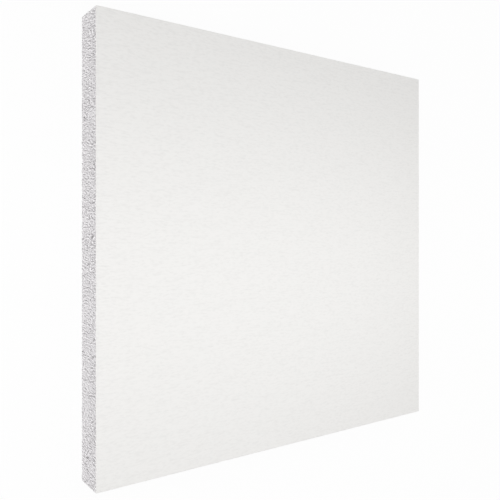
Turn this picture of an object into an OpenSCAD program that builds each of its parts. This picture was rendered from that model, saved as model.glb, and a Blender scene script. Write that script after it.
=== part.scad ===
// Square-edged ceiling tile for a lay-in grid: a mineral wool board with a painted
// fleece bonded over its face. It lies on its back, with the origin at the centre of
// the back. X is its width, Y its length, and Z runs from the back up through the face.
// Lengths are in millimetres.

/* [Grid module] */
// Width of the grid module that the tile drops into
module_w = 600; // [300:1:1200]
// Length of the grid module that the tile drops into
module_l = 600; // [300:1:1800]
// How much smaller than its module the tile is cut, so that it lays in
lay_in_play = 5; // [2:0.5:10]

/* [Wool board] */
// Thickness of the wool board without its fleece
board_t = 49.4; // [12:0.1:100]
// Bevel along the four arrises of the back, where the saw leaves and hands hold it
back_bevel = 0.8; // [0.2:0.1:3]
// Radius of the four upright corners
corner_r = 1; // [0.2:0.1:5]

/* [Face fleece] */
// Thickness of the fleece and its paint together
fleece_t = 0.6; // [0.4:0.1:2]
// Radius that the paint gives to the fleece's outer arris
fleece_arris_r = 0.3; // [0.1:0.05:0.35]

/* [Hidden] */

tile_w = module_w - lay_in_play;
tile_l = module_l - lay_in_play;

// The profiles are drawn longer than the tile by this much at each end, so that the
// plan outline alone trims them.
overrun = 5;
$fn = 48;

// Plan of the tile: a rectangle with four rounded corners.
module tile_outline() {
    square([tile_w - 2 * corner_r, tile_l], center = true);
    square([tile_w, tile_l - 2 * corner_r], center = true);
    for (sx = [-1, 1], sy = [-1, 1])
        translate([sx * (tile_w / 2 - corner_r), sy * (tile_l / 2 - corner_r)])
            circle(r = corner_r);
}

// Section of the board: a rectangle with its two lower corners bevelled.
module board_section(across) {
    half = across / 2;
    polygon([
        [-half + back_bevel, 0],
        [half - back_bevel, 0],
        [half, back_bevel],
        [half, board_t],
        [-half, board_t],
        [-half, back_bevel]
    ]);
}

// Section of the fleece: a thin strip with its two upper corners rounded.
module fleece_section(across) {
    inner = across - 2 * fleece_arris_r;
    translate([-inner / 2, 0])
        square([inner, fleece_t]);
    translate([-across / 2, 0])
        square([across, fleece_t - fleece_arris_r]);
    for (side = [-1, 1])
        translate([side * inner / 2, fleece_t - fleece_arris_r])
            circle(r = fleece_arris_r);
}

// A section in the XZ plane, drawn out along Y.
module drawn_along_y(length) {
    rotate([90, 0, 0])
        linear_extrude(length + 2 * overrun, center = true)
            children();
}

// A sheet of one thickness with the tile's outline and one edge section on all four
// sides. The first child is the section across the width, the second the one across
// the length.
module edged_sheet(thickness) {
    intersection() {
        linear_extrude(thickness)
            tile_outline();
        drawn_along_y(tile_l)
            children(0);
        rotate([0, 0, 90])
            drawn_along_y(tile_w)
                children(1);
    }
}

// The pressed mineral wool board, sawn square on all four sides.
module wool_board() {
    color([0.84, 0.83, 0.835])
        edged_sheet(board_t) {
            board_section(tile_w);
            board_section(tile_l);
        }
}

// The white painted fleece, bonded to the board's upper side and trimmed flush.
module face_fleece() {
    color([0.95, 0.945, 0.935])
        translate([0, 0, board_t])
            edged_sheet(fleece_t) {
                fleece_section(tile_w);
                fleece_section(tile_l);
            }
}

wool_board();
face_fleece();
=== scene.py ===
# Square lay-in ceiling tile: a mineral wool board, sawn on all four sides, with a white painted
# fleece over its face. It lies on its back, face up. Sizes are in metres, angles in degrees.
import math

import bpy
import numpy as np
from mathutils import Matrix, Vector


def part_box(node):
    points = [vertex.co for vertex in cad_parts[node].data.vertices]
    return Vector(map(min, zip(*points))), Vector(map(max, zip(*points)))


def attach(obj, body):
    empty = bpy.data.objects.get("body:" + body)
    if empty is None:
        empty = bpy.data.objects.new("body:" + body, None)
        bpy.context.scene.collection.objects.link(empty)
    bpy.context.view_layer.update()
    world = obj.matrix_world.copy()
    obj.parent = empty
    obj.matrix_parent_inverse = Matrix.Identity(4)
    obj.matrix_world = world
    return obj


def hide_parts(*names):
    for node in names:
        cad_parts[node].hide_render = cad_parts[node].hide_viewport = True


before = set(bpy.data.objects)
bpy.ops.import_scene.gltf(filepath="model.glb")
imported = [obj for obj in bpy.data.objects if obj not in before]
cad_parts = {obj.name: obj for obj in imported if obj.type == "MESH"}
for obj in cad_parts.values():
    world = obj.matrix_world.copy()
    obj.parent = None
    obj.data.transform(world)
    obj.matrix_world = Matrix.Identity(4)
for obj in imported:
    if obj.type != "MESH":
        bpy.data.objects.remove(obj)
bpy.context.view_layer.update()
boardLow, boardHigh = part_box("wool_board")
fleeceLow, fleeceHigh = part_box("face_fleece")
halfTile = boardHigh.x  # from the tile's centre to a cut side
print("frame loaded")


class Wire:
    # the output of a node; arithmetic on it adds Math nodes to the same tree
    def __init__(self, bench, socket):
        self.bench = bench
        self.socket = socket

    def math(self, operation, *others):
        return self.bench.node("ShaderNodeMath", {"operation": operation}, (self, *others))

    def vector(self, operation, *others):
        return self.bench.node("ShaderNodeVectorMath", {"operation": operation}, (self, *others))

    def __add__(self, other):
        return self.math("ADD", other)

    def __sub__(self, other):
        return self.math("SUBTRACT", other)

    def __rsub__(self, other):
        return self.bench.node("ShaderNodeMath", {"operation": "SUBTRACT"}, (other, self))

    def __mul__(self, other):
        return self.math("MULTIPLY", other)

    def __truediv__(self, other):
        return self.math("DIVIDE", other)

    def __pow__(self, other):
        return self.math("POWER", other)

    __radd__ = __add__
    __rmul__ = __mul__

    def scaled(self, amount):
        inputs = {"Vector": self, "Scale": amount}
        return self.bench.node("ShaderNodeVectorMath", {"operation": "SCALE"}, inputs)

    def ramp(self, low, high):  # 0 below low, 1 above high and smooth between them
        settings = {"interpolation_type": "SMOOTHSTEP"}
        inputs = {"Value": self, "From Min": low, "From Max": high}
        return self.bench.node("ShaderNodeMapRange", settings, inputs)

    def parts(self):
        split = self.bench.node("ShaderNodeSeparateXYZ", {}, (self,)).socket.node
        return [Wire(self.bench, socket) for socket in split.outputs]


class Bench:
    # a node tree and the one way of adding a node to it
    def __init__(self, tree):
        self.tree = tree

    def node(self, kind, settings, inputs=(), output=0):
        made = self.tree.nodes.new(kind)
        for name, value in settings.items():
            setattr(made, name, value)
        taken = [socket for socket in made.inputs if socket.enabled]
        named = {socket.name: socket for socket in reversed(taken)}
        for key, value in inputs.items() if isinstance(inputs, dict) else enumerate(inputs):
            socket = named[key] if isinstance(key, str) else taken[key]
            if isinstance(value, Wire):
                self.tree.links.new(value.socket, socket)
            else:
                socket.default_value = value
        given = [socket for socket in made.outputs if socket.enabled]
        if isinstance(output, str):
            return Wire(self, next(socket for socket in given if socket.name == output))
        return Wire(self, given[output]) if given else made


def join(bench, x, y, z=0.0):
    return bench.node("ShaderNodeCombineXYZ", {}, (x, y, z))


def noise(bench, place, size, detail=0.0, roughness=0.5, output="Fac"):
    inputs = {"Vector": place, "Scale": 1 / size, "Detail": detail, "Roughness": roughness}
    return bench.node("ShaderNodeTexNoise", {}, inputs, output)


def blendColours(bench, share, first, second):
    inputs = {"Factor": share, "A": first, "B": second}
    return bench.node("ShaderNodeMix", {"data_type": "RGBA"}, inputs)


def outwardLevel(bench, low, high):
    # the level part of the normal at length 1, and nothing where the square of that part is under low
    nx, ny, _ = bench.node("GeometryNodeInputNormal", {}).parts()
    return join(bench, nx, ny).vector("NORMALIZE").scaled((nx * nx + ny * ny).ramp(low, high))


socketKinds = {
    float: "NodeSocketFloat",
    int: "NodeSocketInt",
    tuple: "NodeSocketVector",
    bpy.types.Material: "NodeSocketMaterial",
}


def geometryBench(name, sizes):
    tree = bpy.data.node_groups.new(name, "GeometryNodeTree")
    for direction in ("INPUT", "OUTPUT"):
        tree.interface.new_socket(name="Geometry", in_out=direction, socket_type="NodeSocketGeometry")
    for label, value in sizes.items():
        tree.interface.new_socket(name=label, in_out="INPUT", socket_type=socketKinds[type(value)])
    bench = Bench(tree)
    entry = tree.nodes.new("NodeGroupInput")
    return bench, {socket.name: Wire(bench, socket) for socket in entry.outputs if socket.name}


def closeTree(bench, geometry, material):
    real = bench.node("GeometryNodeRealizeInstances", {}, {"Geometry": geometry})
    done = bench.node("GeometryNodeSetMaterial", {}, {"Geometry": real, "Material": material})
    bench.node("NodeGroupOutput", {}, (done,))


def runTree(name, bench, sizes, base=None):
    # runs the tree on a base mesh and returns what comes out as a plain object
    worker = bpy.data.objects.new(name + "_worker", base or bpy.data.meshes.new("empty"))
    bpy.context.scene.collection.objects.link(worker)
    modifier = worker.modifiers.new("grow", "NODES")
    modifier.node_group = bench.tree
    for item in bench.tree.interface.items_tree:
        if item.in_out == "INPUT" and item.name in sizes:
            modifier[item.identifier] = sizes[item.name]
    seen = worker.evaluated_get(bpy.context.evaluated_depsgraph_get())
    mesh = bpy.data.meshes.new_from_object(seen, depsgraph=bpy.context.evaluated_depsgraph_get())
    mesh.name = name
    bpy.data.objects.remove(worker)
    piece = bpy.data.objects.new(name, mesh)
    bpy.context.scene.collection.objects.link(piece)
    return piece


def alongSide(inset, segments):
    # where the points of a ring lie along one side: straight in from those of the widest ring, and
    # closer together near the corners, so that a rim can be cut deep without folding what lies behind it
    widest = np.linspace(-halfTile, halfTile, segments + 1)
    straight = halfTile - 3 * inset
    return np.interp(widest, (-halfTile, -straight, straight, halfTile),
                     (inset - halfTile, -straight, straight, halfTile - inset))


def squareRing(inset, segments, radius):
    # one ring with rounded corners, as an array of x and y, anticlockwise from its lower left corner
    half = halfTile - inset
    radius = max(radius - inset, 1e-5)
    along = alongSide(inset, segments)[:-1]
    level = np.full(segments, half)
    ring = np.concatenate([np.stack(side, 1) for side in (
        (along, -level), (level, along), (-along, level), (-level, -along))])
    core = np.clip(ring, radius - half, half - radius)
    out = ring - core
    length = np.linalg.norm(out, axis=1, keepdims=True)
    return np.where(length > radius, core + out * radius / np.maximum(length, 1e-9), ring)


def slabMesh(name, rings, radius, bakePlaces):
    # rings is a list of (segments a side, inset, height); the first and the last are filled with a grid
    points, starts, faces = [], [], []
    for segments, inset, height in rings:
        starts.append(sum(len(p) for p in points))
        flat = squareRing(inset, segments, radius)
        points.append(np.column_stack([flat, np.full(len(flat), height)]))
    for i in range(len(rings) - 1):
        lowCount, highCount = 4 * rings[i][0], 4 * rings[i + 1][0]
        low, high = starts[i], starts[i + 1]
        for k in range(min(lowCount, highCount)):
            if lowCount == highCount:
                a, b = low + k, low + (k + 1) % lowCount
                c, d = high + (k + 1) % highCount, high + k
                faces.append((a, b, c, d))
            elif lowCount < highCount:  # the outer ring has twice as many points
                a, b = low + k, low + (k + 1) % lowCount
                c, d, e = high + 2 * k, high + 2 * k + 1, high + (2 * k + 2) % highCount
                faces += [(a, d, c), (a, b, d), (b, e, d)]
            else:
                a, b = high + k, high + (k + 1) % highCount
                c, d, e = low + 2 * k, low + 2 * k + 1, low + (2 * k + 2) % lowCount
                faces += [(a, c, d), (a, d, b), (b, d, e)]
    for end, up in ((0, False), (-1, True)):
        segments, inset, height = rings[end]
        start = starts[end]
        inner = alongSide(inset, segments)[1:-1]
        grid = np.array([(x, y, height) for y in inner for x in inner])
        first = sum(len(p) for p in points)
        points.append(grid)
        count = segments - 1

        def at(column, row):
            if row == 0:
                return start + column
            if column == segments:
                return start + segments + row
            if row == segments:
                return start + 3 * segments - column
            if column == 0:
                return start + (4 * segments - row)
            return first + (row - 1) * count + column - 1

        for row in range(segments):
            for column in range(segments):
                right, far = column + 1, row + 1
                face = (at(column, row), at(right, row), at(right, far), at(column, far))
                faces.append(face if up else face[::-1])
    mesh = bpy.data.meshes.new(name)
    mesh.from_pydata(np.concatenate(points).tolist(), [], faces)
    mesh.polygons.foreach_set("use_smooth", np.ones(len(faces), bool))
    layMaps(mesh, bakePlaces)
    return mesh


bakeMap = "OFBake"  # a map of this name is the one that the materials are baked through
bakeMargin = 0.002  # kept clear round each part of it
runStep = 1.0  # how far apart the four cut sides lie in the run map, so that no two look the same
flatRun = (7.0, -3.0)  # where the flat sides lie in it, below the heights that the cuts use


def writeMap(mesh, name, places):
    mesh.uv_layers.new(name=name).data.foreach_set("uv", places.astype(np.float32).ravel())


def layMaps(mesh, bakePlaces):
    # the run is in metres: along and up a cut side, and straight across the back and the face
    count = len(mesh.polygons)
    normals = np.empty(count * 3)
    sizes = np.empty(count, int)
    corners = np.empty(len(mesh.loops), int)
    places = np.empty(len(mesh.vertices) * 3)
    mesh.polygons.foreach_get("normal", normals)
    mesh.polygons.foreach_get("loop_total", sizes)
    mesh.loops.foreach_get("vertex_index", corners)
    mesh.vertices.foreach_get("co", places)
    normal = np.repeat(normals.reshape(-1, 3), sizes, axis=0)
    place = places.reshape(-1, 3)[corners]
    quarter = np.round(np.arctan2(normal[:, 0], -normal[:, 1]) / (math.pi / 2)) % 4
    turn = quarter * math.pi / 2
    along = place[:, 0] * np.cos(turn) + place[:, 1] * np.sin(turn)
    isCut = np.abs(normal[:, 2:]) < 0.5
    side = np.column_stack([along + quarter * runStep, place[:, 2]])
    writeMap(mesh, "run", np.where(isCut, side, place[:, :2] + flatRun))

    # the other map gives most of its room to what shows, and each cut lies on it in equal lengths
    cuts = np.array(bakePlaces["cuts"])
    lengths = len(cuts) // 4
    share = np.clip((along / halfTile + 1) / 2, 0, 1) * lengths
    starts = np.concatenate([[0], np.cumsum(sizes)[:-1]])
    middle = np.repeat(np.add.reduceat(share, starts) / sizes, sizes)
    piece = np.minimum(middle.astype(int), lengths - 1)
    box = cuts[quarter.astype(int) * lengths + piece]
    low, high = place[:, 2].min(), place[:, 2].max()
    onCut = np.column_stack([share - piece, (place[:, 2] - low) / (high - low)])
    corner = np.where(normal[:, 2:] > 0, bakePlaces["face"], bakePlaces["back"])
    onFlat = (place[:, :2] / halfTile + 1) / 2
    box = np.where(isCut, box, corner)
    inBox = np.where(isCut, onCut, onFlat)
    writeMap(mesh, bakeMap, box[:, :2] + bakeMargin + inBox * (box[:, 2:] - 2 * bakeMargin))


# folds of fibres that swirl, longer through the board than along it
crimp = {
    "fold": 0.0031,  # from one fold to the next
    "waves": 1.2,  # folds side by side in one bundle
    "stretch": 2.4,  # how much longer a fold is through the board than along it
    "swirl": 0.010,  # size of a swirl
    "turn": 5.0,  # radians that the folds turn through from one swirl to another
    "lean": -0.5,  # radians that they lean to one side on the whole
    "strict": 0.5,  # how closely neighbouring folds run together
    "torn": 0.0032,  # size of a void under the fleece
    "tornAt": (0.56, 0.66),  # levels of its noise where it begins and where it is fully open
    "tornBand": 0.006,  # how far down from the fleece such voids reach
    "slit": 0.0020,  # width of a slit
    "slitAt": (0.76, 0.84),
    "slitStretch": 3.5,  # its length, in widths
}


def crimpPlace(run):
    return run.vector("MULTIPLY", (1.0, 1 / crimp["stretch"], 0.0))


def crimpAngle(bench, place):
    return (noise(bench, place, crimp["swirl"], 1.0) - 0.5) * crimp["turn"] + crimp["lean"]


def voids(bench, run):
    # 0 on sound wool and 1 in a void: a row of them under the fleece, where the wool has torn from it,
    # and a few long slits that open across the board
    _, height, _ = run.parts()
    torn = noise(bench, run.vector("MULTIPLY", (1.0, 0.6, 0.0)), crimp["torn"]).ramp(*crimp["tornAt"])
    underFleece = torn * height.ramp(boardHigh.z - crimp["tornBand"], boardHigh.z)
    aslant = bench.node("ShaderNodeVectorRotate", {"rotation_type": "Z_AXIS"},
                        {"Vector": crimpPlace(run), "Angle": crimp["lean"]})
    slit = noise(bench, aslant.vector("MULTIPLY", (1.0, 1 / crimp["slitStretch"], 0.0)), crimp["slit"])
    return underFleece.math("MAXIMUM", slit.ramp(*crimp["slitAt"]))


def folds(bench, place, angle, fineness=1.0):
    inputs = {
        "Vector": place,
        "Scale": fineness / (crimp["fold"] * crimp["waves"]),
        "Frequency": crimp["waves"],
        "Anisotropy": crimp["strict"],
        "Orientation": angle,
    }
    return bench.node("ShaderNodeTexGabor", {}, inputs, "Value")


def foldWay(bench, angle):
    # which way a fold runs at a crimp place
    return join(bench, angle.math("SINE") * -1, angle.math("COSINE"))


def streaks(bench, place, angle, width, samples):
    # fine noise smeared along the folds, which leaves long thin fibres; it stays close to 0.5
    way = foldWay(bench, angle)
    total = 0
    for step in range(samples):
        along = (step - (samples - 1) / 2) * width * 0.8
        total = total + noise(bench, place.vector("ADD", way.scaled(along)), width)
    return total / samples


def newMaterial(name):
    material = bpy.data.materials.new(name)
    material.use_nodes = True
    material.node_tree.nodes.clear()
    return material, Bench(material.node_tree)


def finishMaterial(bench, shader):
    bench.node("ShaderNodeOutputMaterial", {}, {"Surface": shader})


fleece = {
    "paint": (0.893, 0.885, 0.869, 1.0),
    # a darker paint, for the spots where the paint lies thinner and for the painted shade along the
    # arris
    "thinPaintAndShade": (0.80, 0.792, 0.777, 1.0),
    "roughness": 0.9,
    "shine": 0.2,
    "shadedBorder": 0.0016,  # how far in from the arris the painted shade of the eased arris reaches
    "mottle": 0.0022,  # size of the spots where the paint lies thinner
    "rolled": 0.0028,  # width of the faint streaks that the paint roller leaves
    "fibre": 0.0003,  # thickness of the fibres that show through it
    "fibresAt": (0.4, 0.6),  # levels of their noise between which a fibre stands out
    "fibreLength": 12,  # in thicknesses
    "tangle": 0.006,  # size of the spots where they run together
    "tangleTurn": 25.0,  # radians that they turn through from spot to spot
    "shows": {"thinPaintAndShade": 0.6, "mottle": 1.4, "rolled": 0.4, "fibres": 0.2},  # share in the paint's tone
    "thinness": 0.1,  # of the paint on the whole
    "fibreDepth": 0.00006,
    "reliefShares": {"mottle": 0.4, "fibres": 0.6},
}

wool = {
    "pale": (0.92, 0.905, 0.915, 1.0),
    # the greyest wool; the darker tones also stand in for painted shade in the folds' hollows and
    # between the fibres
    "grey": (0.45, 0.435, 0.445, 1.0),
    # near-black colour painted into the voids as their shade
    "voidShade": (0.26, 0.25, 0.255, 1.0),
    "roughness": 0.95,
    "shine": 0.1,
    "fibreDepth": 0.0003,
    "cloud": 0.03,  # size of the paler and greyer patches
    "grain": 0.0012,
    "shot": 0.0011,  # size of the pale beads of glass that never drew out into fibres
    "shotAt": (0.66, 0.74),
    "fibre": 0.00028,  # thickness of the finest fibres
    "hairsAt": (0.38, 0.62),  # levels of their noise between which a fibre stands out
    "fibreLength": 12,  # in thicknesses
    "tangle": 0.007,  # size of the spots where they run together
    "tangleTurn": 3.0,  # radians that they turn through from spot to spot
    "spilt": 0.0045,  # how unevenly the face's paint ran over the edge, on the cut
    "drip": 0.002,  # width of such a run of paint
    "toneAt": (0.25, 0.75),  # tones that come out fully grey and fully pale
    "shows": {  # share of each in the tone
        "fold": 0.6, "fibres": 0.05, "grain": 0.1, "hairs": 0.25, "cloud": 0.1, "towardFace": 0.04,
        "shot": 0.35, "strand": 0.5, "voidShade": 0.6, "spilt": 0.9},
    "reliefShares": {"fibres": 0.4, "hairs": 0.4, "grain": 0.2},
}


def woolMaterial():
    material, bench = newMaterial("mineral_wool")
    run = bench.node("ShaderNodeAttribute", {"attribute_name": "run"}, (), "Vector")
    tone = bench.node("ShaderNodeAttribute", {"attribute_name": "tone"}, (), "Fac")
    place = crimpPlace(run)
    angle = crimpAngle(bench, place)
    fold = folds(bench, place, angle)
    fibres = folds(bench, place, angle, 2.0)
    grain = noise(bench, run, wool["grain"], 2.0)
    tangle = (noise(bench, place, wool["tangle"], 1.0) - 0.5) * wool["tangleTurn"]
    hairs = streaks(bench, place, angle + tangle, wool["fibre"], wool["fibreLength"])
    hairs = hairs.ramp(*wool["hairsAt"])
    shot = noise(bench, run.vector("MULTIPLY", (1.0, 0.7, 0.0)), wool["shot"], 1.0)
    shot = shot.ramp(*wool["shotAt"])
    cloud = noise(bench, run, wool["cloud"], 2.0)
    _, height, _ = run.parts()
    # a little greyer towards the face, evenly over the whole height of the cut
    towardFace = height.ramp(0.0, boardHigh.z)
    shows, shares = wool["shows"], wool["reliefShares"]
    # the folds' hollows, which the relief sinks, and the gaps between the fine fibres come out greyer:
    # painted shade in those recesses, laid over the wool's own uneven tone
    light = fold * shows["fold"] + fibres * shows["fibres"]
    light = light + grain * shows["grain"] + hairs * shows["hairs"]
    light = light + (cloud - 0.5) * shows["cloud"] - towardFace * shows["towardFace"] + shot * shows["shot"]
    isStrand = tone.math("GREATER_THAN", 0.01)
    light = light + (tone - light) * isStrand * shows["strand"]
    colour = blendColours(bench, light.ramp(*wool["toneAt"]), wool["grey"], wool["pale"])
    # the voids that the relief sinks are painted near-black: painted shade deep inside them
    colour = blendColours(bench, voids(bench, run) * shows["voidShade"], colour, wool["voidShade"])
    drips = noise(bench, run.vector("MULTIPLY", (1.0, 0.5, 0.0)), wool["drip"], 1.0) - 0.62
    spilt = (height - boardHigh.z + drips * wool["spilt"]).ramp(-0.0001, 0.0001)
    spilt = spilt * hairs.ramp(0.0, 0.3) * shows["spilt"]
    colour = blendColours(bench, spilt, colour, fleece["paint"])
    relief = fibres * shares["fibres"] + hairs * shares["hairs"] + grain * shares["grain"]
    bump = bench.node("ShaderNodeBump", {}, {"Height": relief, "Distance": wool["fibreDepth"]})
    finishMaterial(bench, bench.node("ShaderNodeBsdfPrincipled", {}, {
        "Base Color": colour, "Roughness": wool["roughness"], "Specular IOR Level": wool["shine"],
        "Normal": bump}))
    return material


def fleeceMaterial():
    material, bench = newMaterial("painted_fleece")
    place = bench.node("ShaderNodeTexCoord", {}, (), "Object")
    mottle = noise(bench, place.vector("MULTIPLY", (0.35, 1.0, 1.0)), fleece["mottle"], 1.0)
    rolled = noise(bench, place.vector("MULTIPLY", (0.1, 1.0, 1.0)), fleece["rolled"])
    angle = noise(bench, place, fleece["tangle"], 2.0) * fleece["tangleTurn"]
    fibres = streaks(bench, place, angle, fleece["fibre"], fleece["fibreLength"])
    fibres = fibres.ramp(*fleece["fibresAt"])
    x, y, _ = place.parts()
    border = x.math("ABSOLUTE").math("MAXIMUM", y.math("ABSOLUTE"))
    shows, shares = fleece["shows"], fleece["reliefShares"]
    # a band along the arris is painted darker: painted shade of the eased arris, wider than the arris
    # itself; the rest of the dimming is the paint's own thin spots and streaks
    dimming = border.ramp(halfTile - fleece["shadedBorder"], halfTile - 0.0002) * shows["thinPaintAndShade"]
    dimming = dimming + (mottle - 0.5) * shows["mottle"] + (rolled - 0.5) * shows["rolled"]
    dimming = dimming + (0.5 - fibres) * shows["fibres"] + fleece["thinness"]
    colour = blendColours(bench, dimming, fleece["paint"], fleece["thinPaintAndShade"])
    relief = mottle * shares["mottle"] + fibres * shares["fibres"]
    bump = bench.node("ShaderNodeBump", {}, {"Height": relief, "Distance": fleece["fibreDepth"]})
    finishMaterial(bench, bench.node("ShaderNodeBsdfPrincipled", {}, {
        "Base Color": colour, "Roughness": fleece["roughness"], "Specular IOR Level": fleece["shine"],
        "Normal": bump}))
    return material


def flatRings(segments, rings, height):
    return [(segments // fewer, inset, height) for fewer, inset in rings]


woolBoard = {
    "segments": 800,  # along each side, at the cut
    "rows": 22,  # up the cut
    "crowding": 1.25,  # how the rows crowd towards the fleece, 1 for even ones
    "backRings": ((8, 0.009), (4, 0.004), (2, 0.0018)),  # how many times fewer segments, and the inset
    "topRings": ((1, 0.004), (2, 0.006), (4, 0.01), (8, 0.016), (16, 0.026)),
    "cornerRadius": 0.001,
    "bevel": 0.0008,  # along the back
    "under": 0.00003,  # how far it stops below the fleece, so that the two don't share a plane
    "recess": 0.00005,  # how far the folds' tops lie inside the fleece's edge
    "foldDepth": 0.0014,
    "foldAt": (0.35, 0.9),  # levels of the folds' pattern where a hollow begins and where it is deepest
    "voidDepth": 0.0020,
    "cornerDepth": 0.0003,  # the deepest at the upright corners
    "cornerSlope": 0.9,  # how much deeper it may be for each step away from them
    "backDepth": 0.0002,
    "flatBorder": 0.003,  # round the back
    "flatFade": 0.005,  # how far in from it the back's folds reach their full depth
    "bakePlaces": {  # left, low, width and height in the map for baking
        "face": (0.0, 0.84, 0.15, 0.15),
        "back": (0.5, 0.5, 0.5, 0.5),
        "cuts": [(column * 0.5, row * 0.083, 0.5, 0.083)
                 for row in range(10) for column in range(2) if row < 6 or column == 0],
    },
}


def woolBoardPiece(material):
    w = woolBoard
    n = w["segments"]
    top = boardHigh.z - w["under"]
    down = np.linspace(1.0, 0.0, w["rows"]) ** w["crowding"]
    cut = [(n, 0.0, z) for z in top - (top - w["bevel"]) * down]
    rings = flatRings(n, w["backRings"], 0.0) + [(n, w["bevel"], 0.0)] + cut
    rings += flatRings(n, w["topRings"], top)
    mesh = slabMesh("wool_board_base", rings, w["cornerRadius"], w["bakePlaces"])
    sizes = {
        "Recess": w["recess"], "Fold Depth": w["foldDepth"], "Void Depth": w["voidDepth"],
        "Corner Depth": w["cornerDepth"], "Back Depth": w["backDepth"], "Wool": material,
    }
    bench, given = geometryBench("woolBoardRelief", sizes)
    run = bench.node("GeometryNodeInputNamedAttribute", {"data_type": "FLOAT_VECTOR"}, {"Name": "run"})
    _, _, nz = bench.node("GeometryNodeInputNormal", {}).parts()
    place = crimpPlace(run)
    fold = folds(bench, place, crimpAngle(bench, place)).ramp(0.0, 1.0)
    deep = 1 - fold
    x, y, _ = bench.node("GeometryNodeInputPosition", {}).parts()
    x, y = x.math("ABSOLUTE"), y.math("ABSOLUTE")
    border = x.math("MAXIMUM", y)
    toCorner = halfTile - x.math("MINIMUM", y)
    depth = given["Fold Depth"] * deep.ramp(*w["foldAt"]) + given["Void Depth"] * voids(bench, run)
    # two cuts that meet at a corner stay on their own sides of it
    deepest = toCorner * w["cornerSlope"] + given["Corner Depth"]
    depth = given["Recess"] + depth.math("MINIMUM", deepest)
    flatness = (0 - nz).ramp(0.8, 1.0)
    # the back's border stays flat, and its folds fade in behind it
    flatFrom = halfTile - w["flatBorder"]
    inside = 1 - border.ramp(flatFrom - w["flatFade"], flatFrom)
    lift = given["Back Depth"] * deep * flatness * inside
    inward = outwardLevel(bench, 0.1, 0.3).scaled(0 - depth)
    offset = inward.vector("ADD", join(bench, 0.0, 0.0, lift))
    moved = bench.node("GeometryNodeSetPosition", {}, {"Geometry": given["Geometry"], "Offset": offset})
    toned = bench.node("GeometryNodeStoreNamedAttribute", {"data_type": "FLOAT", "domain": "POINT"},
                       {"Geometry": moved, "Name": "tone", "Value": 0.0})
    closeTree(bench, toned, given["Wool"])
    piece = runTree("wool_board_cut", bench, sizes, mesh)
    print("wool board", len(piece.data.polygons), "faces")
    return piece


faceFleece = {
    "segments": 512,  # along each side, at the arris
    "underRings": ((32, 0.02), (16, 0.012), (8, 0.006), (4, 0.003), (2, 0.0012)),
    "faceRings": ((2, 0.0016), (4, 0.0045)),
    "cornerRadius": 0.001,
    "arris": 0.0003,
    "arrisSteps": 3,
    "ragged": 0.00025,  # how far in the trimmed edge wanders
    "notch": 0.004,  # size of the notches in it
    "bakePlaces": {
        "face": (0.0, 0.0, 0.95, 0.95),
        "back": (0.955, 0.0, 0.04, 0.04),
        "cuts": [(0.0, 0.95 + row * 0.0125, 0.95, 0.0125) for row in range(4)],
    },
}


def faceFleecePiece(material):
    f = faceFleece
    n = f["segments"]
    bottom, top = fleeceLow.z, fleeceHigh.z
    rings = flatRings(n, f["underRings"], bottom) + [(n, 0.0, bottom)]
    for step in range(f["arrisSteps"] + 1):
        angle = step / f["arrisSteps"] * math.pi / 2
        inset, drop = f["arris"] * (1 - math.cos(angle)), f["arris"] * (1 - math.sin(angle))
        rings.append((n, inset, top - drop))
    rings += flatRings(n, f["faceRings"], top)
    mesh = slabMesh("face_fleece_base", rings, f["cornerRadius"], f["bakePlaces"])
    sizes = {"Ragged": f["ragged"], "Fleece": material}
    bench, given = geometryBench("faceFleeceRelief", sizes)
    position = bench.node("GeometryNodeInputPosition", {})
    notches = noise(bench, position.vector("MULTIPLY", (1.0, 1.0, 0.2)), f["notch"], 3.0, 0.7)
    # the whole arris moves together, with the rim of the face
    offset = outwardLevel(bench, 0.001, 0.01).scaled(0 - given["Ragged"] * notches.ramp(0.3, 0.7))
    moved = bench.node("GeometryNodeSetPosition", {}, {"Geometry": given["Geometry"], "Offset": offset})
    closeTree(bench, moved, given["Fleece"])
    piece = runTree("face_fleece_painted", bench, sizes, mesh)
    print("face fleece", len(piece.data.polygons), "faces")
    return piece


# loose strands of wool, lying along the folds of the cut sides
woolStrands = {
    "count": 5400,  # on each cut side
    "rings": 6,
    "corners": 3,  # of a strand's section
    "step": 0.0011,  # from ring to ring along a fold
    "stray": 0.9,  # radians by which a strand may run aslant of its fold
    "curl": 0.3,  # radians that it may bend by from ring to ring
    "thickness": 0.00013,
    "sunk": 0.0007,  # how deep a strand's ends lie in the board
    "lift": 0.0005,  # how far its middle stands out of them
    "least": {"Lift": 0.3, "Thickness": 0.5, "Tone": 0.3},  # a strand has from this share to all of each
    "margin": 0.0012,  # kept clear of the face and the back
    "sides": ("near", "right", "far", "left"),
}


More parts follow.
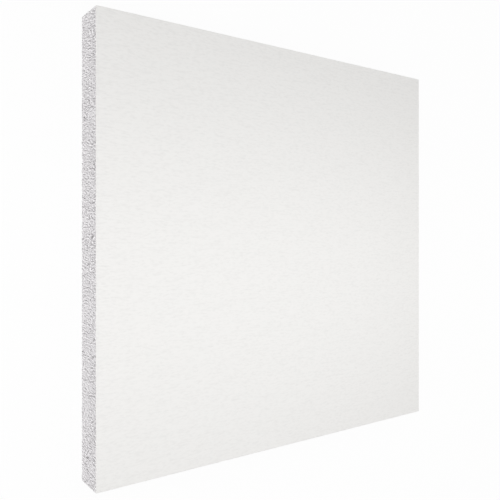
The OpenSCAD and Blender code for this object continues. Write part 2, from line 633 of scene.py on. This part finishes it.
def strandBench(sizes):
    w = woolStrands
    bench, given = geometryBench("woolStrands", sizes)
    length, height = given["Length"], given["Height"]
    margin = given["Margin"]
    field = bench.node("GeometryNodeMeshGrid", {}, {
        "Size X": length - margin * 2, "Size Y": height - margin * 2, "Vertices X": 2, "Vertices Y": 2})
    area = (length - margin * 2) * (height - margin * 2)
    seeds = bench.node("GeometryNodeDistributePointsOnFaces", {}, {
        "Mesh": field, "Density": given["Count"] / area, "Seed": given["Seed"]})
    index = bench.node("GeometryNodeInputIndex", {})
    seeds = bench.node("GeometryNodeStoreNamedAttribute", {"data_type": "INT", "domain": "POINT"},
                       {"Geometry": seeds, "Name": "strand", "Value": index})
    points = bench.node("GeometryNodeDuplicateElements", {"domain": "POINT"},
                        {"Geometry": seeds, "Amount": w["rings"]})
    order = Wire(bench, points.socket.node.outputs["Duplicate Index"])
    strand = bench.node("GeometryNodeInputNamedAttribute", {"data_type": "INT"}, {"Name": "strand"})
    aslant, bend = [bench.node("FunctionNodeRandomValue", {}, {
        "Min": 0 - given[label], "Max": given[label], "ID": strand, "Seed": seed})
        for label, seed in (("Stray", 9), ("Curl", 8))]
    for step in range(1, w["rings"]):
        x, y, _ = bench.node("GeometryNodeInputPosition", {}).parts()
        angle = crimpAngle(bench, crimpPlace(join(bench, x + given["Run Start"], y + height * 0.5)))
        angle = angle + aslant + bend * step
        way = foldWay(bench, angle).vector("MULTIPLY", (1.0, crimp["stretch"], 0.0))
        dx, dy, _ = way.scaled(given["Step"]).parts()
        roomX = (x + dx).math("ABSOLUTE").math("LESS_THAN", length * 0.5 - margin * 0.5)
        roomY = (y + dy).math("ABSOLUTE").math("LESS_THAN", height * 0.5 - margin * 0.5)
        moves = order.math("GREATER_THAN", step - 0.5) * roomX * roomY
        points = bench.node("GeometryNodeSetPosition", {},
                            {"Geometry": points, "Offset": join(bench, dx * moves, dy * moves)})
    curves = bench.node("GeometryNodePointsToCurves", {},
                        {"Points": points, "Curve Group ID": strand, "Weight": order})
    ownLength = bench.node("GeometryNodeSplineLength", {}, (), "Length")
    stub = ownLength.math("LESS_THAN", given["Step"] * 2)  # one that the margin stopped short
    curves = bench.node("GeometryNodeDeleteGeometry", {"domain": "CURVE"},
                        {"Geometry": curves, "Selection": stub})
    curves = bench.node("GeometryNodeResampleCurve", {}, {"Curve": curves, "Count": w["rings"]})
    along = bench.node("GeometryNodeSplineParameter", {})
    arch = (along * math.pi).math("SINE")
    ownLift, ownThickness, ownTone = [bench.node("FunctionNodeRandomValue", {}, {
        "Min": w["least"][label], "Max": 1.0, "ID": strand, "Seed": seed})
        for seed, label in enumerate(("Lift", "Thickness", "Tone"), 1)]
    rise = given["Lift"] * arch * ownLift - given["Sunk"]
    outward = join(bench, 0.0, 0.0, rise)
    curves = bench.node("GeometryNodeSetPosition", {}, {"Geometry": curves, "Offset": outward})
    curves = bench.node("GeometryNodeStoreNamedAttribute", {"data_type": "FLOAT", "domain": "POINT"},
                        {"Geometry": curves, "Name": "tone", "Value": ownTone})
    x, y, _ = bench.node("GeometryNodeInputPosition", {}).parts()
    run = join(bench, x + given["Run Start"], y + height * 0.5)
    curves = bench.node("GeometryNodeStoreNamedAttribute",
                        {"data_type": "FLOAT_VECTOR", "domain": "POINT"},
                        {"Geometry": curves, "Name": "run", "Value": run})
    profile = bench.node("GeometryNodeCurvePrimitiveCircle", {},
                         {"Resolution": w["corners"], "Radius": 1.0})
    taper = given["Thickness"] * ownThickness * (arch * 0.8 + 0.2)
    mesh = bench.node("GeometryNodeCurveToMesh", {},
                      {"Curve": curves, "Profile Curve": profile, "Scale": taper, "Fill Caps": True})
    placed = bench.node("GeometryNodeTransform", {},
                        {"Geometry": mesh, "Translation": given["Place"], "Rotation": given["Turn"]})
    smooth = bench.node("GeometryNodeSetShadeSmooth", {}, {"Geometry": placed, "Shade Smooth": True})
    closeTree(bench, smooth, given["Wool"])
    return bench


def layStrandMap(mesh):
    # a square of the map for each strand, with its rings side by side
    w = woolStrands
    corners = np.empty(len(mesh.loops), int)
    mesh.loops.foreach_get("vertex_index", corners)
    strand, corner = np.divmod(corners, w["rings"] * w["corners"])
    ring, turn = np.divmod(corner, w["corners"])
    cells = math.ceil(math.sqrt(w["count"]))
    inCell = np.column_stack([ring / (w["rings"] - 1), turn / (w["corners"] - 1)]) * 0.7 + 0.15
    writeMap(mesh, bakeMap, (np.column_stack([strand % cells, strand // cells]) + inCell) / cells)


def woolStrandPieces(material):
    w = woolStrands
    height = boardHigh.z - boardLow.z
    sizes = {label: w[label.lower()] for label in (
        "Count", "Step", "Stray", "Curl", "Thickness", "Sunk", "Lift", "Margin")}
    sizes.update({"Length": halfTile * 2, "Height": height, "Wool": material})
    # what differs from side to side
    sizes.update({"Run Start": 0.0, "Seed": 1, "Turn": (0.0, 0.0, 0.0), "Place": (0.0, 0.0, 0.0)})
    bench = strandBench(sizes)
    pieces = []
    for quarter, side in enumerate(w["sides"]):
        turn = quarter * math.pi / 2
        sizes["Run Start"] = quarter * runStep
        sizes["Seed"] = quarter + 1
        sizes["Turn"] = (math.pi / 2, 0.0, turn)
        sizes["Place"] = (halfTile * math.sin(turn), -halfTile * math.cos(turn), height / 2)
        pieces.append(runTree("strands_" + side, bench, sizes))
        layStrandMap(pieces[-1].data)
        print("strands", side, len(pieces[-1].data.polygons), "faces")
    return pieces


studio = {
    "overhead": 0.38,  # strength of the light from straight above
    "level": 2.0,  # how much stronger it is from the level of the floor
    "seen": (1.0, 1.0, 1.0, 1.0),  # what the camera sees behind the floor
    "floorColour": (0.92, 0.92, 0.92, 1.0),
    "floorGlow": 0.95,  # share of plain white that the camera sees in the floor
    "floorSize": 40.0,
    "lamps": {
        "long": {
            "place": (-0.22, -0.04, 0.55), "aim": (-0.25, -0.14, 0.0),
            "size": (1.4, 0.3), "watts": 1.45},
        "side": {
            "place": (-1.5, 0.0, 0.45), "aim": (-0.3, 0.0, 0.0),
            "size": (0.5, 1.2), "watts": 1.5},
    },
}


def cameraOnly(bench):
    path = bench.node("ShaderNodeLightPath", {}).socket.node
    camera, glossy, through = [Wire(bench, path.outputs[label]) for label in (
        "Is Camera Ray", "Is Glossy Ray", "Is Transmission Ray")]
    return camera.math("MAXIMUM", glossy).math("MAXIMUM", through)


def makeStudio():
    world = bpy.data.worlds.new("studio")
    world.use_nodes = True
    world.node_tree.nodes.clear()
    bench = Bench(world.node_tree)
    _, _, rise = bench.node("ShaderNodeTexCoord", {}, (), "Generated").parts()
    strength = studio["overhead"] + studio["level"] * (1 - rise.math("MAXIMUM", 0.0)) ** 2
    seen = bench.node("ShaderNodeBackground", {}, {"Color": studio["seen"], "Strength": 1.0})
    sky = bench.node("ShaderNodeBackground", {}, {"Color": (1.0, 1.0, 1.0, 1.0), "Strength": strength})
    mixed = bench.node("ShaderNodeMixShader", {}, (cameraOnly(bench), sky, seen))
    bench.node("ShaderNodeOutputWorld", {}, {"Surface": mixed})
    bpy.context.scene.world = world

    material, bench = newMaterial("floor")
    paint = bench.node("ShaderNodeBsdfDiffuse", {}, {"Color": studio["floorColour"]})
    glow = bench.node("ShaderNodeEmission", {}, {"Color": (1.0, 1.0, 1.0, 1.0), "Strength": 1.0})
    share = cameraOnly(bench) * studio["floorGlow"]
    finishMaterial(bench, bench.node("ShaderNodeMixShader", {}, (share, paint, glow)))
    half = studio["floorSize"] / 2
    corners = [(-half, -half, 0.0), (half, -half, 0.0), (half, half, 0.0), (-half, half, 0.0)]
    mesh = bpy.data.meshes.new("floor")
    mesh.from_pydata(corners, [], [(0, 1, 2, 3)])
    mesh.materials.append(material)
    floor = bpy.data.objects.new("floor", mesh)
    floor.location.z = -0.0002
    bpy.context.scene.collection.objects.link(floor)

    for name, lamp in studio["lamps"].items():
        makeLamp(name, **lamp)


def makeLamp(name, place, aim, size, watts):
    light = bpy.data.lights.new(name, "AREA")
    light.shape = "RECTANGLE"
    light.size, light.size_y = size
    light.energy = watts
    lamp = bpy.data.objects.new(name, light)
    lamp.location = place
    back = (Vector(place) - Vector(aim)).normalized()
    across = Vector((0.0, 1.0, 0.0)).cross(back).normalized()
    lamp.rotation_euler = Matrix((across, back.cross(across), back)).transposed().to_euler()
    lamp.visible_camera = False
    bpy.context.scene.collection.objects.link(lamp)


view = {
    "place": (-0.568, 0.015, 0.774),
    "lean": 36.4,  # from straight down towards the right
    "lens": 44.0,
    "shift": (-0.04, -0.026),
}


def makeCamera():
    data = bpy.data.cameras.new("camera")
    data.sensor_width = 36.0
    data.lens = view["lens"]
    data.shift_x, data.shift_y = view["shift"]
    camera = bpy.data.objects.new("camera", data)
    camera.location = view["place"]
    camera.rotation_euler = (0.0, -math.radians(view["lean"]), 0.0)
    bpy.context.scene.collection.objects.link(camera)
    bpy.context.scene.camera = camera


makeCamera()
makeStudio()
print("camera and studio placed")

woolFinish = woolMaterial()
fleeceFinish = fleeceMaterial()
print("materials made")

boardPiece = woolBoardPiece(woolFinish)
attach(boardPiece, "root")
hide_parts("wool_board")

fleecePiece = faceFleecePiece(fleeceFinish)
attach(fleecePiece, "root")
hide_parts("face_fleece")

for strandPiece in woolStrandPieces(woolFinish):
    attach(strandPiece, "root")

bpy.context.scene.view_settings.view_transform = "Standard"
